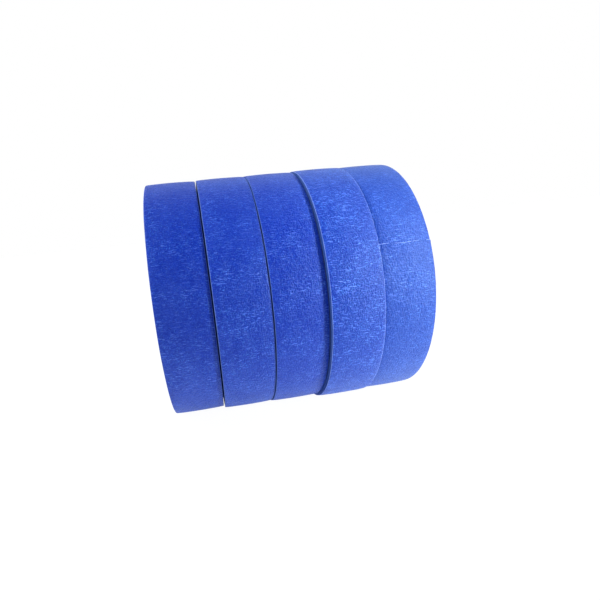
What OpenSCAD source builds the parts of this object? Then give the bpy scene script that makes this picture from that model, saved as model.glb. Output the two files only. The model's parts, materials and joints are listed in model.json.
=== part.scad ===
// A row of five masking tape rolls, standing side by side on their treads.
// Every roll is a spiral-wound paper core, a coil of tape, the last full turn of the tape
// and its loose end.
// X runs along the rolls' axes, Y to the back of the row, Z up. The origin is on the
// ground, under the middle of the row.

/* [Tape] */
// Width of the tape, and so of each roll
roll_w = 24; // [12:1:48]
// Outside diameter of a roll over its last full turn
roll_d = 120.5; // [100:0.5:140]
// Thickness of one turn of tape, backing and adhesive together
tape_t = 0.125; // [0.10:0.005:0.20]
// Length of the loose end, along the tape
tail_len = 21; // [10:1:40]

/* [Core] */
// Bore of the paper core
bore_d = 76.2; // [70:0.1:80]
// Thickness of the smooth ply on the inside and on the outside of the core
liner_t = 0.35; // [0.2:0.05:0.6]
// Thickness of each plain ply between the two smooth ones
ply_t = 0.5; // [0.3:0.05:0.8]
// Number of plain plies
ply_count = 4; // [2:1:6]
// Thickness of the glue line between two plies
glue_t = 0.05; // [0.02:0.01:0.10]

/* [Row] */
// Gap between the first roll and the second
gap_1 = 0.6; // [0.2:0.1:5]
// Gap between the second roll and the third
gap_2 = 0.3; // [0.2:0.1:5]
// Gap between the third roll and the fourth
gap_3 = 0.3; // [0.2:0.1:5]
// Gap between the fourth roll and the fifth
gap_4 = 0.4; // [0.2:0.1:5]
// How far the first roll stands back from the line of the row
back_1 = 3.4; // [-10:0.1:10]
// How far the second roll stands back
back_2 = 0.9; // [-10:0.1:10]
// How far the third roll stands back
back_3 = 0.1; // [-10:0.1:10]
// How far the fourth roll stands back
back_4 = -3.4; // [-10:0.1:10]
// How far the fifth roll stands back
back_5 = -1.5; // [-10:0.1:10]

/* [Loose ends] */
// Angle of the first roll's free edge, up from the back of the roll and over its top
tip_1 = 40; // [-60:1:220]
// Angle of the second roll's free edge
tip_2 = -20; // [-60:1:220]
// Angle of the third roll's free edge
tip_3 = 65; // [-60:1:220]
// Angle of the fourth roll's free edge
tip_4 = 15; // [-60:1:220]
// Angle of the fifth roll's free edge
tip_5 = 159; // [-60:1:220]

/* [Fits] */
// Radial clearance under the last turn, which slips round the coil as tape is drawn off
turn_clear = 0.05; // [0.02:0.01:0.10]
// Radial clearance under the loose end
tail_clear = 0.05; // [0.02:0.01:0.10]

/* [Hidden] */
ROLLS = 5;
PIECES = [
    "core_inner_ply", "core_body_plies", "core_outer_ply",
    "tape_coil", "outer_turn", "tape_tail"
];

$fn = 180;

gaps = [gap_1, gap_2, gap_3, gap_4];
backs = [back_1, back_2, back_3, back_4, back_5];
tips = [tip_1, tip_2, tip_3, tip_4, tip_5];

// Radii, from the bore outwards
bore_r = bore_d / 2;
plies_r = bore_r + liner_t + glue_t;
ply_pitch = ply_t + glue_t;
liner_r = plies_r + ply_count * ply_pitch;
core_r = liner_r + liner_t;
coil_r = core_r + glue_t;
roll_r = roll_d / 2;
turn_r = roll_r - tape_t;
tail_r = roll_r + tail_clear;
tail_deg = tail_len / tail_r * 180 / PI;

// Places of the rolls: the row is centred on the origin, from end to end and from front to back
function gaps_before(k) = k < 2 ? 0 : gaps[k - 2] + gaps_before(k - 1);
row_w = ROLLS * roll_w + gaps_before(ROLLS);
row_mid = (max(backs) + min(backs)) / 2;
function left_x(k) = (k - 1) * roll_w + gaps_before(k) - row_w / 2;
function axis_y(k) = backs[k - 1] - row_mid;

tape_blue = [0.18, 0.30, 0.78];
edge_blue = [0.24, 0.38, 0.80];
kraft = [0.69, 0.56, 0.41];
grey_board = [0.60, 0.55, 0.47];

// Puts a piece on roll k. The piece is drawn round its own Z from its left face, with
// angles from its own X: those become the row's X and angles up from the back.
module on_roll(k) {
    translate([left_x(k), axis_y(k), roll_r])
        rotate([90, 0, 90])
            children();
}

// A ring as wide as the tape
module ring(inner_r, outer_r) {
    rotate_extrude()
        translate([inner_r, 0])
            square([outer_r - inner_r, roll_w]);
}

// The smooth paper ply that lines the bore
module core_inner_ply() {
    color(kraft)
        ring(bore_r, bore_r + liner_t);
}

// The plain plies of the core, one round the other
module core_body_plies() {
    color(grey_board)
        for (i = [0 : ply_count - 1])
            ring(plies_r + i * ply_pitch, plies_r + i * ply_pitch + ply_t);
}

// The smooth outermost ply, which the tape starts on
module core_outer_ply() {
    color(kraft)
        ring(liner_r, core_r);
}

// All the turns of tape under the last one
module tape_coil() {
    color(edge_blue)
        ring(coil_r, turn_r - turn_clear);
}

// The last full turn of tape
module outer_turn() {
    color(tape_blue)
        ring(turn_r, roll_r);
}

// The end of the tape, lapped on the last turn, from its free edge to where it peels from
module tape_tail(tip) {
    color(tape_blue)
        rotate([0, 0, tip])
            rotate_extrude(angle = tail_deg)
                translate([tail_r, 0])
                    square([tape_t, roll_w]);
}

for (k = [1 : ROLLS]) {
    on_roll(k) core_inner_ply();
    on_roll(k) core_body_plies();
    on_roll(k) core_outer_ply();
    on_roll(k) tape_coil();
    on_roll(k) outer_turn();
    on_roll(k) tape_tail(tips[k - 1]);
}
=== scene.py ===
"""Five rolls of blue crepe masking tape, standing side by side on their treads.

Each CAD node is replaced by a finished piece of the same size, made here: the plies of the
paper core, the coil with its slit edges, the last turn of crepe paper and its loose end.
Places and sizes are read from the CAD nodes. Lengths are in metres, with MM for millimetres.
Angles round a roll run from the back of the row over its top.
"""

import json
import math

import bpy
import numpy as np
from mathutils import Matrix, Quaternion, Vector


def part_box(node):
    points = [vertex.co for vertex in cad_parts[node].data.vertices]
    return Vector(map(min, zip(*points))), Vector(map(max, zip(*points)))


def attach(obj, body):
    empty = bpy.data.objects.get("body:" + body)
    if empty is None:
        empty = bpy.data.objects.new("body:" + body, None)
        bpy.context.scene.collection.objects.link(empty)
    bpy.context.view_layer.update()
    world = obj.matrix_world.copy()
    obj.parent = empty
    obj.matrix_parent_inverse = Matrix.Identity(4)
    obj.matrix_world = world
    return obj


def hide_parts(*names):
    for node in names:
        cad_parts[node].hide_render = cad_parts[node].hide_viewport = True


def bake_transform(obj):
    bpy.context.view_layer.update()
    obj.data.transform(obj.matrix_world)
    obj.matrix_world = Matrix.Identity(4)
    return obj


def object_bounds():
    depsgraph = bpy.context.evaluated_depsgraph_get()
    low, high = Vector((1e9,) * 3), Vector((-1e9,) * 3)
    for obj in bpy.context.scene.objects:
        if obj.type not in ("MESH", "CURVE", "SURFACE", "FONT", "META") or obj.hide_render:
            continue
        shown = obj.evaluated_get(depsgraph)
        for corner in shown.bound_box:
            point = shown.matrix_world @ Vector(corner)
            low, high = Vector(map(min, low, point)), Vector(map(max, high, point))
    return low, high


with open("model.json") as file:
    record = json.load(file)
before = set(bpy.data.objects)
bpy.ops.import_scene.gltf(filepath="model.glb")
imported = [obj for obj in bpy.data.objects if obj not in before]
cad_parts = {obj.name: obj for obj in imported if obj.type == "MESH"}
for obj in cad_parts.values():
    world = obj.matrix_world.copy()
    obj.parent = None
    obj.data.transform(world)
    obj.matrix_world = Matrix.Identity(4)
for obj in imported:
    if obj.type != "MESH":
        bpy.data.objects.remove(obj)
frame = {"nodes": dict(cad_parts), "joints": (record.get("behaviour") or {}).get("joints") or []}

cad_low, cad_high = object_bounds()
centre = (cad_low + cad_high) / 2

MM = 0.001
FULL_TURN = 2 * math.pi
ROLLS = 5

# How finely the pieces are made: steps along and across the tape, and points round the rings
TURN_STEP = 0.26 * MM
ACROSS_STEP = 0.9 * MM
UNDER_POINTS = 13
COIL_SPOKES = 320
COIL_RINGS = 104
CORE_SPOKES = 300
LINER_ACROSS = 40

# Core: how ragged the cut ends of its smooth and plain plies are, how far the bore's face lies
# back, its fibres, and the helical strip of the liner, with its butt seam and raised edge
SMOOTH_RAGGED = 0.03 * MM
PLAIN_RAGGED = 0.07 * MM
BORE_BACK = 0.03 * MM
BORE_FIBRE = 0.012 * MM
HELIX_DEGREES = 60
SEAM_DEPTH = 0.16 * MM
SEAM_RUN = 0.55 * MM
LAP_RISE = 0.025 * MM
LAP_RUN = 9 * MM

# The tape is a little thinner at its edges, so that the coil falls off towards its two rims
RIM_DROP = 0.12 * MM
RIM_RUN = 0.9 * MM
CROWN = 0.25 * MM

# Crepe paper: height of its creases, how deep they are sunk so that none stands proud of the
# roll, how far they run across the tape, how low they are pressed under the loose end, and how
# much more they spread a highlight along the tape than across it
CREPE_HEIGHT = 0.010 * MM
CREPE_SUNK = 2.2 * CREPE_HEIGHT
CREASE_RUN = 1.6 * MM
CREPE_PRESSED = 0.6
CREPE_STREAK = 0.88

# Slit edges of the tape: how round they are, how far they wander, and how many points in from
# the edge take the pale rim colour, a painted highlight over their fibre
EDGE_ROUND = 0.09 * MM
EDGE_WANDER = 0.035 * MM
RIM_LINE_POINTS = 2

# Slit sides of the coil: its play inside the last turn and round the core, how deep single turns
# and whole bands of turns sit back, and how much of that depth is kept
COIL_PLAY = 0.02 * MM
TURN_SETBACK = 0.022 * MM
BAND_SETBACK = 0.030 * MM
SETBACK_KEPT = 0.8
SETBACK_LEAST = 0.01 * MM

# How far the middle turns of each coil have slipped sideways, towards the right
SLIPPED = [0.02 * MM, -0.56 * MM, 0.05 * MM, -0.07 * MM, 0.04 * MM]

# Loose end: gap below it, its least thickness, the length of the zone at its root where it would
# bend as it peels, which only sets an end point that is not used, and the rows of points over which
# its creases rise from the root
TAIL_GAP = 0.006 * MM
TAIL_LEAST = 0.04 * MM
BEND_RUN = 7.0 * MM
ROOT_ROWS = 6

# Its free edge: how far from it the tape lifts, and how high it and its right corner stand
TIP_RUN = 3.5 * MM
TIP_LIFT = 0.10 * MM
CORNER_LIFT = 0.55 * MM
CORNER_START = 0.72
CORNER_SHARE = 0.28

# The tear along it: its waves, its teeth and its missing corner, how much of it shows a pale line,
# a painted highlight over torn fibre, and how wide that is, as a share of one row of points
TEAR_WAVE = 0.2 * MM
TEAR_TEETH = 0.05 * MM
TEAR_CORNER = 1.1 * MM
TORN_LEVEL = -0.5
TORN_ROW = 0.45

# Places of a tape piece's materials: its crepe face, its slit edges and its tacky back
ON_FACE = 0
ON_EDGE = 1
ON_BACK = 2

# Pale dashes are stronger on some rolls than on others. The two rolls in the brightest light get
# more green in their blue, a painted tint of that light, and the rims of the rolls get a painted
# highlight over their pale slit fibre, most on those that stand proud
DASHES = [0.42, 0.54, 0.48, 0.82, 0.48]
GREEN_IN_BRIGHT_LIGHT = [1.0, 1.0, 1.0, 1.15, 1.6]
RIM_HIGHLIGHT_SHARE = [0.5, 0.6, 0.3, 0.85, 0.8]

# Light of the table itself: at the left and at the right of the row, the share of it that is
# left in front, and how bright it is where the table is seen itself
GLOW_LEFT = 0.85
GLOW_RIGHT = 1.65
GLOW_FRONT = 0.1
GLOW_SEEN = 0.97
FLOOR_HALF = 6.0


# ---------------------------------------------------------------- places


class Roll:
    """Where one roll is, and its radii, read from its CAD nodes."""

    def __init__(self, k):
        self.k = k
        low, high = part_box(f"outer_turn_{k}")
        self.left = low.x
        self.right = high.x
        self.width = self.right - self.left
        self.y = (low.y + high.y) / 2
        self.z = (low.z + high.z) / 2
        self.bore_r, self.liner_r = self.radii("core_inner_ply")[[0, -1]]
        self.ply_radii = self.radii("core_body_plies")
        self.outer_ply_r, self.core_r = self.radii("core_outer_ply")[[0, -1]]
        self.turn_in_r, self.roll_r = self.radii("outer_turn")[[0, -1]]
        self.tape_t = self.roll_r - self.turn_in_r
        peel = next(joint for joint in frame["joints"] if joint["name"] == f"peel_{k}")
        self.root = math.atan2(peel["pos_m"][2] - self.z, peel["pos_m"][1] - self.y)
        self.tip = self.root + self.angles("tape_tail").min()

    def places(self, kind):
        """Depth and height of a node's points, from the roll's own axis."""
        vertices = frame["nodes"][f"{kind}_{self.k}"].data.vertices
        return np.array([(v.co.y - self.y, v.co.z - self.z) for v in vertices])

    def radii(self, kind):
        """The radii that a node's points lie on, to a hundredth of a millimetre."""
        depth, height = self.places(kind).T
        return np.unique(np.round(np.hypot(depth, height), 5))

    def angles(self, kind):
        """Angles of a node's points, from the root of the loose end."""
        depth, height = self.places(kind).T
        turned = np.arctan2(height, depth) - self.root
        return (turned + math.pi) % FULL_TURN - math.pi


# ---------------------------------------------------------------- relief


def blur(field, sigma, axis, wrap):
    """A field of heights blurred along one axis, by sigma samples."""
    reach = max(1, math.ceil(3 * sigma))
    kernel = np.exp(-0.5 * (np.arange(-reach, reach + 1) / sigma) ** 2)
    kernel /= kernel.sum()
    pad = [(0, 0), (0, 0)]
    pad[axis] = (reach, reach)
    wide = np.pad(field, pad, mode="wrap" if wrap else "symmetric")
    out = np.zeros_like(field)
    for i, weight in enumerate(kernel):
        out += weight * np.take(wide, range(i, i + field.shape[axis]), axis)
    return out


def relief(rng, shape, round_sigma, across_sigma, wrap=True):
    """Smooth random heights with a spread of 1, as long and as wide as the two sigmas."""
    field = rng.standard_normal(shape)
    field = blur(field, round_sigma, 0, wrap)
    field = blur(field, across_sigma, 1, False)
    return (field - field.mean()) / field.std()


def crepe(rng, shape, wrap=True):
    """Heights of crepe paper: fine creases across the tape, over wider, softer swells."""
    run = CREASE_RUN / ACROSS_STEP
    fine = relief(rng, shape, 0.7, run, wrap)
    bold = relief(rng, shape, 1.8, 1.6 * run, wrap)
    swell = relief(rng, shape, 9.0, 2.5 * run, wrap)
    return CREPE_HEIGHT * (0.75 * fine + 0.65 * bold + 0.5 * swell)


def fall_off(x, width):
    """How far the surface of the coil lies below its middle, at a place across the tape."""
    edge = np.minimum(x, width - x)
    crown = CROWN * (2 * x / width - 1) ** 2
    return crown + RIM_DROP * np.exp(-edge / RIM_RUN)


# ---------------------------------------------------------------- meshes


def round_points(roll, x, r, angle):
    """Points at the given radii and angles round a roll's axis, as an array of rows."""
    x, r, angle = np.broadcast_arrays(x, r, angle)
    return np.stack([x, roll.y + r * np.cos(angle), roll.z + r * np.sin(angle)], -1)


def loop_faces(rows, loop, closed):
    """Quads of a tube whose cross-section has loop points. It closes on itself, or stays open."""
    i = np.arange(rows if closed else rows - 1)[:, None]
    j = np.arange(loop)[None, :]
    a = i * loop + j
    b = i * loop + (j + 1) % loop
    c = (i + 1) % rows * loop + (j + 1) % loop
    d = (i + 1) % rows * loop + j
    return np.stack([a, b, c, d], -1).reshape(-1, 4)


def cap_faces(first, loop):
    """Quads over the open end of a flat tube whose two long sides have the same points."""
    j = np.arange(loop // 2 - 1)
    return np.stack([first + j, first + loop - 1 - j, first + loop - 2 - j, first + j + 1], -1)


def signed_volume(points, faces):
    """Volume inside quads. It is negative where they face inwards."""
    a, b, c, d = (points[faces[:, i]] for i in range(4))
    return (np.cross(a, b) * c + np.cross(a, c) * d).sum() / 6


def join_grids(grids):
    """All the points and faces of some (points, faces) solids, with the faces turned outwards."""
    all_points, all_faces, first = [], [], 0
    for points, faces in grids:
        points = points.reshape(-1, 3)
        if signed_volume(points - points.mean(0), faces) < 0:
            faces = faces[:, ::-1]
        all_points.append(points)
        all_faces.append(faces + first)
        first += len(points)
    return np.concatenate(all_points), np.concatenate(all_faces)


def add_wound(mesh, roll, points):
    """A 'wound' attribute on the points: radius, cosine and sine of the angle round the axis."""
    depth, height = points[:, 1] - roll.y, points[:, 2] - roll.z
    r = np.hypot(depth, height)
    values = np.stack([r, depth / r, height / r], 1).astype(np.float32)
    mesh.attributes.new("wound", "FLOAT_VECTOR", "POINT").data.foreach_set("vector", values.ravel())


def make_piece(name, roll, grids, materials, slots=None):
    """One smooth mesh object from (points, faces) solids, with a material slot for each face."""
    points, faces = join_grids(grids)
    mesh = bpy.data.meshes.new(name)
    mesh.from_pydata(points.tolist(), [], faces.tolist())
    add_wound(mesh, roll, points)
    for material in materials:
        mesh.materials.append(material)
    if slots is not None:
        mesh.polygons.foreach_set("material_index", slots.astype(np.int32))
    mesh.polygons.foreach_set("use_smooth", np.ones(len(faces), bool))
    mesh.set_sharp_from_angle(angle=math.radians(35))
    mesh.update()
    piece = bpy.data.objects.new(name, mesh)
    bpy.context.scene.collection.objects.link(piece)
    return piece


def spoke_angles(spokes):
    """Even angles round a full turn, as a column."""
    return np.linspace(0, FULL_TURN, spokes, endpoint=False)[:, None]


def ring_grid(roll, x, r):
    """A full ring whose cross-section's loop is given by x and r, each (spokes, loop)."""
    points = round_points(roll, x, r, spoke_angles(len(x)))
    return points, loop_faces(*points.shape[:2], closed=True)


# ---------------------------------------------------------------- paper core


def paper_ring(roll, rng, inner_r, outer_r, ragged):
    """A ply of the core: a ring with slightly ragged cut ends. Its inner_r is (spokes, across)."""
    x = np.linspace(roll.left, roll.right, inner_r.shape[1])[None, :].repeat(CORE_SPOKES, 0)
    ends = np.abs(relief(rng, (CORE_SPOKES, 4), 1.2, 0.5)) * ragged
    inner_x = x.copy()
    inner_x[:, 0] += ends[:, 0]
    inner_x[:, -1] -= ends[:, 1]
    outer_x = np.stack([roll.right - ends[:, 2], roll.left + ends[:, 3]], 1)
    outer = np.full((CORE_SPOKES, 2), outer_r)
    return ring_grid(roll, np.hstack([inner_x, outer_x]), np.hstack([inner_r, outer]))


def plain_ring(roll, rng, inner_r, outer_r, ragged):
    """A ply whose inner face is even."""
    return paper_ring(roll, rng, np.full((CORE_SPOKES, 2), inner_r), outer_r, ragged)


def bore_radii(roll, rng):
    """Radii of the bore's face. Its ply is a strip wound in a helix, so its seam is slanted."""
    x = np.linspace(0, roll.width, LINER_ACROSS)[None, :]
    slant = math.tan(math.radians(HELIX_DEGREES))
    round_bore = FULL_TURN * roll.bore_r
    half_round = math.pi * roll.bore_r
    seam_at = rng.uniform(0, FULL_TURN)
    off = (spoke_angles(CORE_SPOKES) - seam_at) * roll.bore_r - x * slant
    off = (off + half_round) % round_bore - half_round
    seam = SEAM_DEPTH * np.exp(-((off / SEAM_RUN) ** 2))
    lap = LAP_RISE * np.clip(1 + off / LAP_RUN, 0, 1) * (off < 0)
    fibre = BORE_FIBRE * relief(rng, (CORE_SPOKES, LINER_ACROSS), 2.0, 1.2)
    return roll.bore_r + seam + BORE_BACK - lap + fibre


def make_core(roll, kraft, board):
    """The three pieces of the paper core."""
    rng = np.random.default_rng(100 + roll.k)
    ring = paper_ring(roll, rng, bore_radii(roll, rng), roll.liner_r, SMOOTH_RAGGED)
    liner = make_piece(f"core_liner_{roll.k}", roll, [ring], [kraft])
    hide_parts(f"core_inner_ply_{roll.k}")

    plies = [
        plain_ring(roll, rng, inner_r, outer_r, PLAIN_RAGGED)
        for inner_r, outer_r in roll.ply_radii.reshape(-1, 2)
    ]
    body = make_piece(f"core_plies_{roll.k}", roll, plies, [board])
    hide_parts(f"core_body_plies_{roll.k}")

    ring = plain_ring(roll, rng, roll.outer_ply_r, roll.core_r, SMOOTH_RAGGED)
    cover = make_piece(f"core_cover_{roll.k}", roll, [ring], [kraft])
    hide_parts(f"core_outer_ply_{roll.k}")
    return [liner, body, cover]


# ---------------------------------------------------------------- coil


def side_setback(rng):
    """How far back each turn's slit edge lies on one side of the coil, (spokes, rings)."""
    shape = (COIL_SPOKES, COIL_RINGS)
    one_turn = rng.standard_normal((1, COIL_RINGS)).repeat(COIL_SPOKES, 0)
    drift = relief(rng, shape, 26, 0.45)
    band = relief(rng, (1, COIL_RINGS), 0.1, 5.0).repeat(COIL_SPOKES, 0)
    lean = relief(rng, shape, 60, 9.0)
    turns = TURN_SETBACK * (0.5 * one_turn + 0.5 * drift)
    depth = turns + BAND_SETBACK * (0.5 * band + 0.4 * lean)
    return np.clip(depth - depth.min(), 0, 6 * BAND_SETBACK) * SETBACK_KEPT + SETBACK_LEAST


def make_coil(roll, edges):
    """All turns but the last: a ring whose sides show the slit edges of the tape."""
    rng = np.random.default_rng(200 + roll.k)
    outer_r = roll.roll_r - 2 * roll.tape_t - COIL_PLAY
    rim_r = outer_r - fall_off(np.zeros(1), roll.width)[0]
    share = np.linspace(0, 1, COIL_RINGS)[None, :]
    side_r = roll.core_r + COIL_PLAY + (rim_r - roll.core_r - COIL_PLAY) * share
    side_r = side_r.repeat(COIL_SPOKES, 0)
    slipped = SLIPPED[roll.k - 1] * np.sin(math.pi * share) ** 1.6
    left = roll.left + side_setback(rng) + slipped
    right = roll.right - side_setback(rng) + slipped
    across = np.linspace(0, roll.width, UNDER_POINTS)[1:-1]
    top_x = (roll.left + across)[None, :].repeat(COIL_SPOKES, 0)
    top_r = (outer_r - fall_off(across, roll.width))[None, :].repeat(COIL_SPOKES, 0)
    x = np.hstack([left, top_x, right[:, ::-1]])
    r = np.hstack([side_r, top_r, side_r[:, ::-1]])
    piece = make_piece(f"coil_{roll.k}", roll, [ring_grid(roll, x, r)], [edges])
    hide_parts(f"tape_coil_{roll.k}")
    return piece


# ---------------------------------------------------------------- tape


def across_tape(roll):
    """Places across the tape, with close points at each edge that round it, and the drop there."""
    inner = np.linspace(0, roll.width, round(roll.width / ACROSS_STEP))[1:-1]
    near = np.array([0.0, 0.35, 1.2]) * EDGE_ROUND
    x = np.concatenate([near, inner, roll.width - near[::-1]])
    edge = np.minimum(x, roll.width - x)
    drop = EDGE_ROUND * 0.6 * np.clip(1 - edge / (1.2 * EDGE_ROUND), 0, 1) ** 2
    return x, drop


def turn_radii(roll, rng, past_root, x, drop):
    """Radii of the last turn's face. It winds in by one thickness, down to where it passes the tip."""
    tail_span = roll.root - roll.tip
    below_tail = past_root > FULL_TURN - tail_span
    wound_in = (past_root + tail_span) / FULL_TURN
    outer_r = roll.roll_r - roll.tape_t * wound_in
    height = crepe(rng, (len(past_root), len(x))) * np.where(below_tail, CREPE_PRESSED, 1.0)
    return outer_r + height - CREPE_SUNK - drop - fall_off(x, roll.width)


def turn_places(roll, rng, spokes, x):
    """Places across the last turn, whose two slit edges wander a little, (spokes, across)."""
    wander = relief(rng, (spokes, 2), 22, 0.1) * EDGE_WANDER * 0.5
    wander = np.clip(wander, -EDGE_WANDER, EDGE_WANDER) + EDGE_WANDER
    share = (x / roll.width)[None, :]
    return roll.left + x + wander[:, :1] * (1 - share) - wander[:, 1:] * share


def make_turn(roll, crepe_paper, edges):
    """The last full turn of the tape."""
    rng = np.random.default_rng(300 + roll.k)
    spokes = round(FULL_TURN * roll.roll_r / TURN_STEP)
    past_root = spoke_angles(spokes)
    x, drop = across_tape(roll)
    top_r = turn_radii(roll, rng, past_root, x, drop)
    top_x = turn_places(roll, rng, spokes, x)
    under = np.linspace(roll.width, 0, UNDER_POINTS)
    under_r = roll.roll_r - 2 * roll.tape_t - fall_off(under, roll.width)
    under_r = under_r[None, :].repeat(spokes, 0)
    left, right = top_x[:, :1], top_x[:, -1:]
    under_x = right + (left - right) * (1 - under / roll.width)[None, :]
    section_x = np.hstack([top_x, under_x])
    section_r = np.hstack([top_r, under_r])
    points = round_points(roll, section_x, section_r, roll.root + past_root)
    faces = loop_faces(*points.shape[:2], closed=True)
    j = np.arange(points.shape[1])
    # These points take the edge material's pale rim: a painted highlight over slit fibre
    on_rim_line = (j < RIM_LINE_POINTS) | (j >= len(x) - 1 - RIM_LINE_POINTS)
    slots = np.tile(np.where(on_rim_line, ON_EDGE, ON_FACE), spokes)
    piece = make_piece(f"last_turn_{roll.k}", roll, [(points, faces)], [crepe_paper, edges], slots)
    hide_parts(f"outer_turn_{roll.k}")
    return piece


def tip_line(rng, across):
    """How far the torn free edge falls short of straight, at each place across the tape."""
    share = np.linspace(0, 1, across)
    wave = relief(rng, (across, 1), across / 7, 0.1, wrap=False)[:, 0]
    teeth = relief(rng, (across, 1), 0.7, 0.1, wrap=False)[:, 0]
    corner = np.clip((share - 0.8) / 0.2, 0, 1) ** 1.5
    short = TEAR_WAVE * wave + TEAR_TEETH * teeth + TEAR_CORNER * corner
    return short - short.min()


def tail_curl(from_tip, across):
    """How high the loose end stands: it lifts towards its free edge, most at the right corner."""
    lift = np.clip(1 - from_tip / TIP_RUN, 0, 1) ** 2
    side = np.linspace(0, 1, across)[None, :]
    corner = np.clip((side - CORNER_START) / CORNER_SHARE, 0, 1) ** 2
    return lift * (TIP_LIFT + CORNER_LIFT * corner)


def tail_radii(roll, rng, share, angle, x, drop):
    """Radii of the loose end's crepe face and of its tacky back, each (rows, across)."""
    rows, across = angle.shape
    height = crepe(rng, (rows, across), wrap=False)
    past_tip = angle - roll.tip
    curl = tail_curl(past_tip * roll.roll_r, across)
    seat = np.clip(share * rows / ROOT_ROWS, 0, 1)
    wound_in = past_tip / FULL_TURN
    surface_r = roll.roll_r - fall_off(x, roll.width)[None, :] - roll.tape_t * wound_in
    top_r = surface_r + height * seat - CREPE_SUNK - drop + curl
    under_r = surface_r - roll.tape_t + TAIL_GAP + curl
    return top_r, np.minimum(under_r, top_r - TAIL_LEAST)


def tail_slots(rng, rows, across):
    """Material slots of the loose end's faces: round it row by row, then its two end caps."""
    loop = 2 * across
    j = np.tile(np.arange(loop), rows - 1)
    on_back = (j >= across) & (j < loop - 1)
    slots = np.where(j < across - 1, ON_FACE, np.where(on_back, ON_BACK, ON_EDGE))
    # Along most of the tear the tip row takes the pale edge colour: a painted highlight over torn
    # fibre
    fibre = relief(rng, (across - 1, 1), 1.2, 0.1, wrap=False)[:, 0]
    slots[(rows - 2) * loop + np.flatnonzero(fibre > TORN_LEVEL)] = ON_EDGE
    return np.concatenate([slots, np.full(2 * (across - 1), ON_EDGE)])


def make_tail(roll, crepe_paper, edges, adhesive):
    """The loose end: a thin strip on the last turn."""
    rng = np.random.default_rng(400 + roll.k)
    x, drop = across_tape(roll)
    across = len(x)
    span = roll.root - roll.tip
    rows = round(span * roll.roll_r / TURN_STEP)
    share = np.minimum(np.arange(rows) / (rows - 2 + TORN_ROW), 1)[:, None]
    short = tip_line(rng, across)[None, :] / roll.roll_r
    angle = roll.root - (span - short) * share
    top_r, under_r = tail_radii(roll, rng, share, angle, x, drop)
    place = roll.left + EDGE_WANDER + x * (1 - 2 * EDGE_WANDER / roll.width)
    place = place[None, :].repeat(rows, 0)
    points = round_points(
        roll,
        np.hstack([place, place[:, ::-1]]),
        np.hstack([top_r, under_r[:, ::-1]]),
        np.hstack([angle, angle[:, ::-1]]),
    )
    loop = 2 * across
    root_cap = cap_faces(0, loop)
    tip_cap = cap_faces((rows - 1) * loop, loop)[:, ::-1]
    faces = np.concatenate([loop_faces(rows, loop, closed=False), root_cap, tip_cap])
    materials = [crepe_paper, edges, adhesive]
    slots = tail_slots(rng, rows, across)
    piece = make_piece(f"loose_end_{roll.k}", roll, [(points, faces)], materials, slots)
    start = round_points(roll, 0, roll.roll_r, roll.root)
    end = round_points(roll, 0, roll.roll_r, roll.root - BEND_RUN / roll.roll_r)
    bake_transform(piece)
    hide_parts(f"tape_tail_{roll.k}")


# ---------------------------------------------------------------- materials

# Crepe paper: its two blues, the deeper one painted shade in the crease valleys, with a green that
# is raised on the rolls in the brightest light as a painted tint of that light, and its pale
# marks, whose dashes on the crease ridges are partly painted highlight
CREPE_DEEP = (0.0004, 0.013, 0.28)
CREPE_BLUE = (0.0024, 0.025, 0.38)
CREPE_PALE = (0.13, 0.26, 0.94, 1)
CREPE_CYAN = (0.08, 0.29, 0.92, 1)
CREPE_GLOSS = (0.70, 1.0, 1.0, 1)
CREPE_SHEEN = (0.4, 0.9, 1.0, 1)

# Slit edges: the two blues of their rings, a deep blue darkened further as painted shade for the
# narrow gaps between rolls, paper dust, and the rim's own blue and its pale colour, a painted
# highlight over slit fibre. The rim's colour fades in between two depths below the roll's radius,
# so the side is painted pale at the rim and dark further down.
RING_DEEP = (0.006, 0.026, 0.15, 1)
RING_LIGHT = (0.030, 0.085, 0.34, 1)
EDGE_DUST = (0.30, 0.42, 0.84, 1)
RIM_OWN_BLUE = Vector((0.04, 0.10, 0.36))
RIM_FIBRE_AND_HIGHLIGHT = Vector((0.33, 0.47, 0.96))
RIM_DEPTH = 0.65 * MM
RIM_FULL_DEPTH = 0.40 * MM

# Back of the tape: the blue paper, and the film on it
BACK_DEEP = (0.09, 0.17, 0.55, 1)
BACK_LIGHT = (0.16, 0.27, 0.72, 1)
BACK_FILM = (0.36, 0.46, 0.80, 1)

# Core paper: light, dark and fibre colours of the smooth kraft plies and of the plain plies
KRAFT = [(0.47, 0.33, 0.20, 1), (0.36, 0.24, 0.14, 1), (0.58, 0.44, 0.29, 1)]
BOARD = [(0.36, 0.30, 0.23, 1), (0.26, 0.21, 0.16, 1), (0.46, 0.40, 0.32, 1)]
KRAFT_ROUGHNESS = 0.72
BOARD_ROUGHNESS = 0.88

# Floor: the two greys of its acrylic, and the near black that leaves only its glow to be seen.
# White is the colour of that glow and of the backdrop's.
FLOOR_GREY = (0.40, 0.40, 0.40, 1)
FLOOR_LIGHT_GREY = (0.44, 0.44, 0.44, 1)
FLOOR_SEEN = (0.06, 0.06, 0.06, 1)
WHITE = (1, 1, 1, 1)


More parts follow.
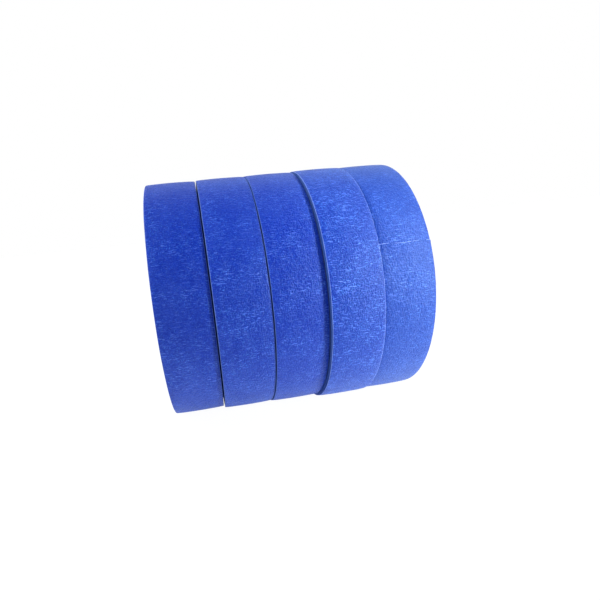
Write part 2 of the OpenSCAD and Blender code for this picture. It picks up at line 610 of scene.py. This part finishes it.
class Shader:
    """A material's node tree, with short calls to add nodes and link them."""

    def __init__(self, name):
        self.material = bpy.data.materials.new(name)
        self.material.use_nodes = True
        self.tree = self.material.node_tree
        self.tree.nodes.clear()
        self.surface = self.add("ShaderNodeBsdfPrincipled")
        output = self.add("ShaderNodeOutputMaterial")
        self.tree.links.new(self.surface.outputs["BSDF"], output.inputs["Surface"])

    def add(self, kind, inputs=None, **settings):
        """A node with its settings made, and its inputs linked or set."""
        node = self.tree.nodes.new(kind)
        for key, value in settings.items():
            setattr(node, key, value)
        for key, value in (inputs or {}).items():
            self.put(node.inputs[key], value)
        return node

    def put(self, socket, value):
        """Links a socket to another one, or sets its value."""
        if isinstance(value, bpy.types.NodeSocket):
            self.tree.links.new(value, socket)
        else:
            socket.default_value = value

    def finish(self, **inputs):
        """The material, with the surface's own sockets linked or set."""
        for key, value in inputs.items():
            self.put(self.surface.inputs[key.replace("_", " ")], value)
        return self.material

    def place(self):
        """Place in metres, in the row's own frame."""
        return self.add("ShaderNodeTexCoord").outputs["Object"]

    def wound(self):
        """Radius, cosine and sine of the angle round the roll's axis."""
        return self.add("ShaderNodeAttribute", attribute_name="wound").outputs["Vector"]

    def scaled(self, vector, scale, shift=(0, 0, 0)):
        """A place in waves of noise: scale is waves per metre along each axis."""
        inputs = {0: vector, 1: scale, 2: shift}
        return self.add("ShaderNodeVectorMath", inputs, operation="MULTIPLY_ADD").outputs[0]

    def noise(self, vector, detail=2.0, roughness=0.5, distortion=0.0):
        inputs = {
            "Vector": vector,
            "Scale": 1.0,
            "Detail": detail,
            "Roughness": roughness,
            "Distortion": distortion,
        }
        return self.add("ShaderNodeTexNoise", inputs).outputs["Fac"]

    def ramp(self, value, low, high, out_low=0.0, out_high=1.0):
        """A smooth step from out_low to out_high, while a value goes from low to high."""
        inputs = {
            "Value": value,
            "From Min": low,
            "From Max": high,
            "To Min": out_low,
            "To Max": out_high,
        }
        node = self.add("ShaderNodeMapRange", inputs, interpolation_type="SMOOTHSTEP")
        return node.outputs["Result"]

    def math(self, operation, a, b):
        return self.add("ShaderNodeMath", {0: a, 1: b}, operation=operation).outputs[0]

    def mix(self, factor, a, b):
        """Colour a where the factor is 0, and b where it is 1."""
        inputs = {"Factor": factor, 6: a, 7: b}
        return self.add("ShaderNodeMix", inputs, data_type="RGBA").outputs[2]

    def round_axis(self):
        """Direction along the tape, round the roll's own axis."""
        return self.add("ShaderNodeTangent", direction_type="RADIAL", axis="X").outputs[0]

    def bump(self, height, distance, strength=1.0):
        inputs = {"Height": height, "Distance": distance, "Strength": strength}
        return self.add("ShaderNodeBump", inputs).outputs["Normal"]


def with_green(colour, green):
    """A colour whose green is scaled."""
    return (colour[0], colour[1] * green, colour[2], 1)


def crepe_colour(s, crease, dash, fleck, patch, mottle, dash_strength, green):
    """Blue, deeper in the crease valleys as painted shade, with pale dashes on the ridges that are
    partly painted highlight and partly the saturant's own streaks, and pale flecks, both stronger in
    patches.
    """
    # green is raised on the rolls in the brightest light: a painted tint of that light
    deep = with_green(CREPE_DEEP, green)
    blue = with_green(CREPE_BLUE, green)
    # Painted shade: the deeper blue where the crease height is low
    colour = s.mix(s.ramp(crease, 0.36, 0.64), deep, blue)
    in_patch = s.ramp(patch, 0.38, 0.66, 0.4, 0.95)
    # Pale dashes where the dash height is high, on the ridges: partly painted highlight
    dashes = s.math("MULTIPLY", s.ramp(dash, 0.57, 0.70), in_patch)
    dashes = s.math("MULTIPLY", dashes, dash_strength)
    colour = s.mix(dashes, colour, CREPE_PALE)
    near_patch = s.ramp(patch, 0.4, 0.66, 0.5, 0.95)
    flecks = s.math("MULTIPLY", s.ramp(fleck, 0.52, 0.72), near_patch)
    flecks = s.math("MULTIPLY", flecks, 0.8 * dash_strength)
    colour = s.mix(flecks, colour, CREPE_CYAN)
    return s.mix(s.ramp(mottle, 0.35, 0.7, 0.0, 0.04), colour, CREPE_PALE)


def crepe_material(name, shift, dash_strength, green):
    """Saturated blue crepe paper. Its creases and dashes run across the tape, along X."""
    s = Shader(name)
    at = s.place()
    shift = (shift, 1.7 * shift, 0.3 * shift)
    crease = s.noise(s.scaled(at, (1000, 2400, 2400), shift), 2.0, 0.6)
    thread = s.noise(s.scaled(at, (1700, 700, 700), shift), 1.0, 0.6)
    dash = s.noise(s.scaled(at, (430, 2600, 2600), shift), 1.0, 0.6)
    fleck = s.noise(s.scaled(at, (2100, 2300, 2300), shift), 1.0, 0.6)
    patch = s.noise(s.scaled(at, (70, 95, 95), shift), 2.0, 0.6)
    mottle = s.noise(s.scaled(at, (150, 60, 60), shift), 3.0, 0.55)
    height = s.math("ADD", s.math("MULTIPLY", crease, 0.6), s.math("MULTIPLY", dash, 0.4))
    height = s.math("ADD", height, thread)
    return s.finish(
        Base_Color=crepe_colour(s, crease, dash, fleck, patch, mottle, dash_strength, green),
        Roughness=s.ramp(crease, 0.35, 0.65, 0.54, 0.42),
        Specular_IOR_Level=0.50,
        Specular_Tint=CREPE_GLOSS,
        Anisotropic=CREPE_STREAK,
        Tangent=s.round_axis(),
        Sheen_Weight=0.05,
        Sheen_Roughness=0.5,
        Sheen_Tint=CREPE_SHEEN,
        Normal=s.bump(height, 0.22 * MM),
    )


def edge_material(name, rim, roll_r):
    """Slit edges of the wound tape: fine rings, dark as painted shade, and at the rim a pale band that
    is painted highlight over paper fibre.
    """
    s = Shader(name)
    wound = s.wound()
    ring = s.noise(s.scaled(wound, (9000, 2.2, 2.2)), 2.0, 0.6)
    band = s.noise(s.scaled(wound, (900, 1.2, 1.2)), 3.0, 0.6)
    dust = s.noise(s.scaled(s.place(), (1500, 1500, 1500)), 2.0, 0.6)
    radius = s.add("ShaderNodeSeparateXYZ", {0: wound}).outputs["X"]
    # Painted light: the outer part of the side takes the pale rim colour as a highlight, and the side
    # below it keeps the dark rings as shade in the gap
    at_rim = s.ramp(radius, roll_r - RIM_DEPTH, roll_r - RIM_FULL_DEPTH)
    colour = s.mix(s.ramp(ring, 0.3, 0.7), RING_DEEP, RING_LIGHT)
    colour = s.mix(s.ramp(band, 0.42, 0.68, 0.0, 0.15), colour, rim)
    colour = s.mix(at_rim, colour, rim)
    colour = s.mix(s.ramp(dust, 0.6, 0.78, 0.0, 0.3), colour, EDGE_DUST)
    height = s.math("ADD", s.math("MULTIPLY", ring, 0.8), s.math("MULTIPLY", dust, 0.3))
    return s.finish(
        Base_Color=colour,
        Roughness=s.ramp(band, 0.3, 0.7, 0.72, 0.86),
        Specular_IOR_Level=0.06,
        Normal=s.bump(height, 0.06 * MM, 0.6),
    )


def paper_material(name, light, dark, fibre_colour, roughness):
    """Core paper: cloudy pulp with short fibres in it."""
    s = Shader(name)
    at = s.place()
    cloud = s.noise(s.scaled(at, (240, 240, 240)), 4.0, 0.6)
    fibre = s.noise(s.scaled(at, (700, 2600, 2600)), 2.0, 0.6, 0.6)
    speck = s.noise(s.scaled(at, (1900, 1900, 1900)), 1.0, 0.5)
    colour = s.mix(s.ramp(cloud, 0.3, 0.7), dark, light)
    colour = s.mix(s.ramp(fibre, 0.56, 0.75, 0.0, 0.5), colour, fibre_colour)
    colour = s.mix(s.ramp(speck, 0.68, 0.8, 0.0, 0.5), colour, dark)
    height = s.math("ADD", s.math("MULTIPLY", fibre, 0.7), s.math("MULTIPLY", cloud, 0.6))
    return s.finish(
        Base_Color=colour,
        Roughness=s.ramp(cloud, 0.3, 0.7, roughness - 0.06, roughness + 0.06),
        Specular_IOR_Level=0.15,
        Normal=s.bump(height, 0.05 * MM, 0.5),
    )


def adhesive_material():
    """Back of the tape: the blue paper seen through a tacky film."""
    s = Shader("tape_underside")
    at = s.place()
    film = s.noise(s.scaled(at, (500, 900, 900)), 3.0, 0.55)
    crease = s.noise(s.scaled(at, (300, 2700, 2700)), 2.0, 0.6)
    colour = s.mix(s.ramp(crease, 0.3, 0.7), BACK_DEEP, BACK_LIGHT)
    colour = s.mix(s.ramp(film, 0.5, 0.75, 0.0, 0.35), colour, BACK_FILM)
    return s.finish(
        Base_Color=colour,
        Roughness=s.ramp(film, 0.3, 0.7, 0.22, 0.40),
        Specular_IOR_Level=0.5,
        Normal=s.bump(crease, 0.04 * MM, 0.5),
    )


def floor_material():
    """White acrylic, lit from below as on a product table, so that it shows only a soft shadow."""
    s = Shader("floor_acrylic")
    cloud = s.noise(s.scaled(s.place(), (9, 9, 9)), 3.0, 0.5)
    place = s.add("ShaderNodeSeparateXYZ", {0: s.place()})
    along = s.ramp(place.outputs["X"], cad_low.x, 2 * cad_high.x, GLOW_LEFT, GLOW_RIGHT)
    front = s.ramp(place.outputs["Y"], 2.4 * cad_low.y, 0.7 * cad_low.y, GLOW_FRONT, 1.0)
    glow = s.math("MULTIPLY", along, front)
    seen = s.add("ShaderNodeLightPath").outputs["Is Camera Ray"]
    glow = s.math("MULTIPLY", glow, s.math("SUBTRACT", 1.0, seen))
    colour = s.mix(seen, s.mix(cloud, FLOOR_GREY, FLOOR_LIGHT_GREY), FLOOR_SEEN)
    return s.finish(
        Base_Color=colour,
        Roughness=0.9,
        Specular_IOR_Level=0.1,
        Emission_Color=WHITE,
        Emission_Strength=s.math("ADD", glow, s.math("MULTIPLY", seen, GLOW_SEEN)),
    )


# ---------------------------------------------------------------- studio


def towards(azimuth, elevation):
    """Unit vector from the row: azimuth 0 is the front, 90 its right end."""
    a, e = math.radians(azimuth), math.radians(elevation)
    return Vector((math.sin(a) * math.cos(e), -math.cos(a) * math.cos(e), math.sin(e)))


def softbox(name, aim, azimuth, elevation, distance, size, watts, spread=180, gloss=True):
    """A square area light, aimed at a point. A low spread narrows its beam."""
    light = bpy.data.lights.new(name, "AREA")
    light.size = size
    light.energy = watts
    light.spread = math.radians(spread)
    lamp = bpy.data.objects.new(name, light)
    out = towards(azimuth, elevation)
    lamp.location = aim + out * distance
    lamp.rotation_mode = "QUATERNION"
    lamp.rotation_quaternion = (-out).to_track_quat("-Z", "Y")
    lamp.visible_camera = False
    lamp.visible_glossy = gloss
    bpy.context.scene.collection.objects.link(lamp)


def make_lights():
    """One softbox that the tape shines in, and four large soft ones that only light it."""
    right_end = centre + Vector((cad_high.x, 0, 0))
    left_end = centre + Vector((cad_low.x, 0, 0))
    softbox("key", right_end, 35, 15, distance=0.45, size=0.16, watts=0.23, spread=38)
    softbox("face", left_end, -8, 18, distance=0.6, size=0.4, watts=0.52, gloss=False)
    softbox("front", left_end, -60, 35, distance=0.6, size=0.4, watts=1.5, gloss=False)
    softbox("left", left_end, -88, 50, distance=0.7, size=0.4, watts=4.6, gloss=False)
    softbox("right", centre, 88, 50, distance=1.1, size=0.5, watts=0.6, gloss=False)


def make_floor():
    """A wide white floor under the row."""
    half = FLOOR_HALF
    corners = [(-half, -half, 0), (half, -half, 0), (half, half, 0), (-half, half, 0)]
    mesh = bpy.data.meshes.new("floor")
    mesh.from_pydata(corners, [], [(0, 1, 2, 3)])
    mesh.materials.append(floor_material())
    floor = bpy.data.objects.new("floor", mesh)
    bpy.context.scene.collection.objects.link(floor)


def make_world(seen, room, backdrop):
    """White to the eye. As a light it is dim, but for the glow of a lit backdrop behind the row."""
    world = bpy.data.worlds.new("studio")
    bpy.context.scene.world = world
    world.use_nodes = True
    tree = world.node_tree
    tree.nodes.clear()
    coordinates = tree.nodes.new("ShaderNodeTexCoord")
    behind = tree.nodes.new("ShaderNodeVectorMath")
    behind.operation = "DOT_PRODUCT"
    behind.inputs[1].default_value = towards(180, 8)
    glow = tree.nodes.new("ShaderNodeMapRange")
    glow.interpolation_type = "SMOOTHSTEP"
    glow.inputs["From Min"].default_value = 0.35
    glow.inputs["From Max"].default_value = 0.85
    glow.inputs["To Min"].default_value = room
    glow.inputs["To Max"].default_value = backdrop
    path = tree.nodes.new("ShaderNodeLightPath")
    strength = tree.nodes.new("ShaderNodeMix")
    strength.inputs[3].default_value = seen
    background = tree.nodes.new("ShaderNodeBackground")
    background.inputs["Color"].default_value = WHITE
    output = tree.nodes.new("ShaderNodeOutputWorld")
    links = tree.links
    links.new(coordinates.outputs["Generated"], behind.inputs[0])
    links.new(behind.outputs["Value"], glow.inputs["Value"])
    links.new(path.outputs["Is Camera Ray"], strength.inputs["Factor"])
    links.new(glow.outputs["Result"], strength.inputs[2])
    links.new(strength.outputs[0], background.inputs["Strength"])
    links.new(background.outputs["Background"], output.inputs["Surface"])


def make_camera():
    """Close and low in front of the row, a little to its left, tipped down and rolled."""
    distance, azimuth, elevation = 0.2476, -9.38, 8.07
    turned, down, rolled = 8.91, 10.68, 5.82
    data = bpy.data.cameras.new("camera")
    data.sensor_width = 36.0
    data.lens = 26.92
    data.shift_x = 0.0424
    data.shift_y = 0.0138
    data.clip_start = 0.01
    data.clip_end = 50.0
    camera = bpy.data.objects.new("camera", data)
    camera.location = centre + towards(azimuth, elevation) * distance
    look = -towards(-turned, down)
    roll = Quaternion((0, 0, 1), math.radians(-rolled))
    camera.rotation_mode = "QUATERNION"
    camera.rotation_quaternion = look.to_track_quat("-Z", "Y") @ roll
    bpy.context.scene.collection.objects.link(camera)
    bpy.context.scene.camera = camera


# ---------------------------------------------------------------- row


def make_roll(k, kraft, board, adhesive):
    """One roll, with each piece but its loose end riding on a body."""
    roll = Roll(k)
    # Rolls in the brightest light get more green in their blue, a painted tint of that light
    paper = crepe_material(f"crepe_{k}", 3.7 * k, DASHES[k - 1], GREEN_IN_BRIGHT_LIGHT[k - 1])
    # The rim colour is a painted highlight over pale slit fibre, stronger on the rolls that stand
    # proud
    rim = (*RIM_OWN_BLUE.lerp(RIM_FIBRE_AND_HIGHLIGHT, RIM_HIGHLIGHT_SHARE[k - 1]), 1)
    edges = edge_material(f"tape_edges_{k}", rim, roll.roll_r)
    for piece in make_core(roll, kraft, board) + [make_coil(roll, edges)]:
        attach(piece, f"roll_{k}")
    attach(make_turn(roll, paper, edges), f"turn_{k}")
    make_tail(roll, paper, edges, adhesive)


make_camera()
make_floor()
make_world(seen=1.0, room=0.05, backdrop=1.9)
make_lights()
bpy.context.scene.view_settings.view_transform = "Standard"

kraft_paper = paper_material("kraft_liner", *KRAFT, KRAFT_ROUGHNESS)
board_paper = paper_material("core_board", *BOARD, BOARD_ROUGHNESS)
tacky_back = adhesive_material()
for number in range(1, ROLLS + 1):
    make_roll(number, kraft_paper, board_paper, tacky_back)
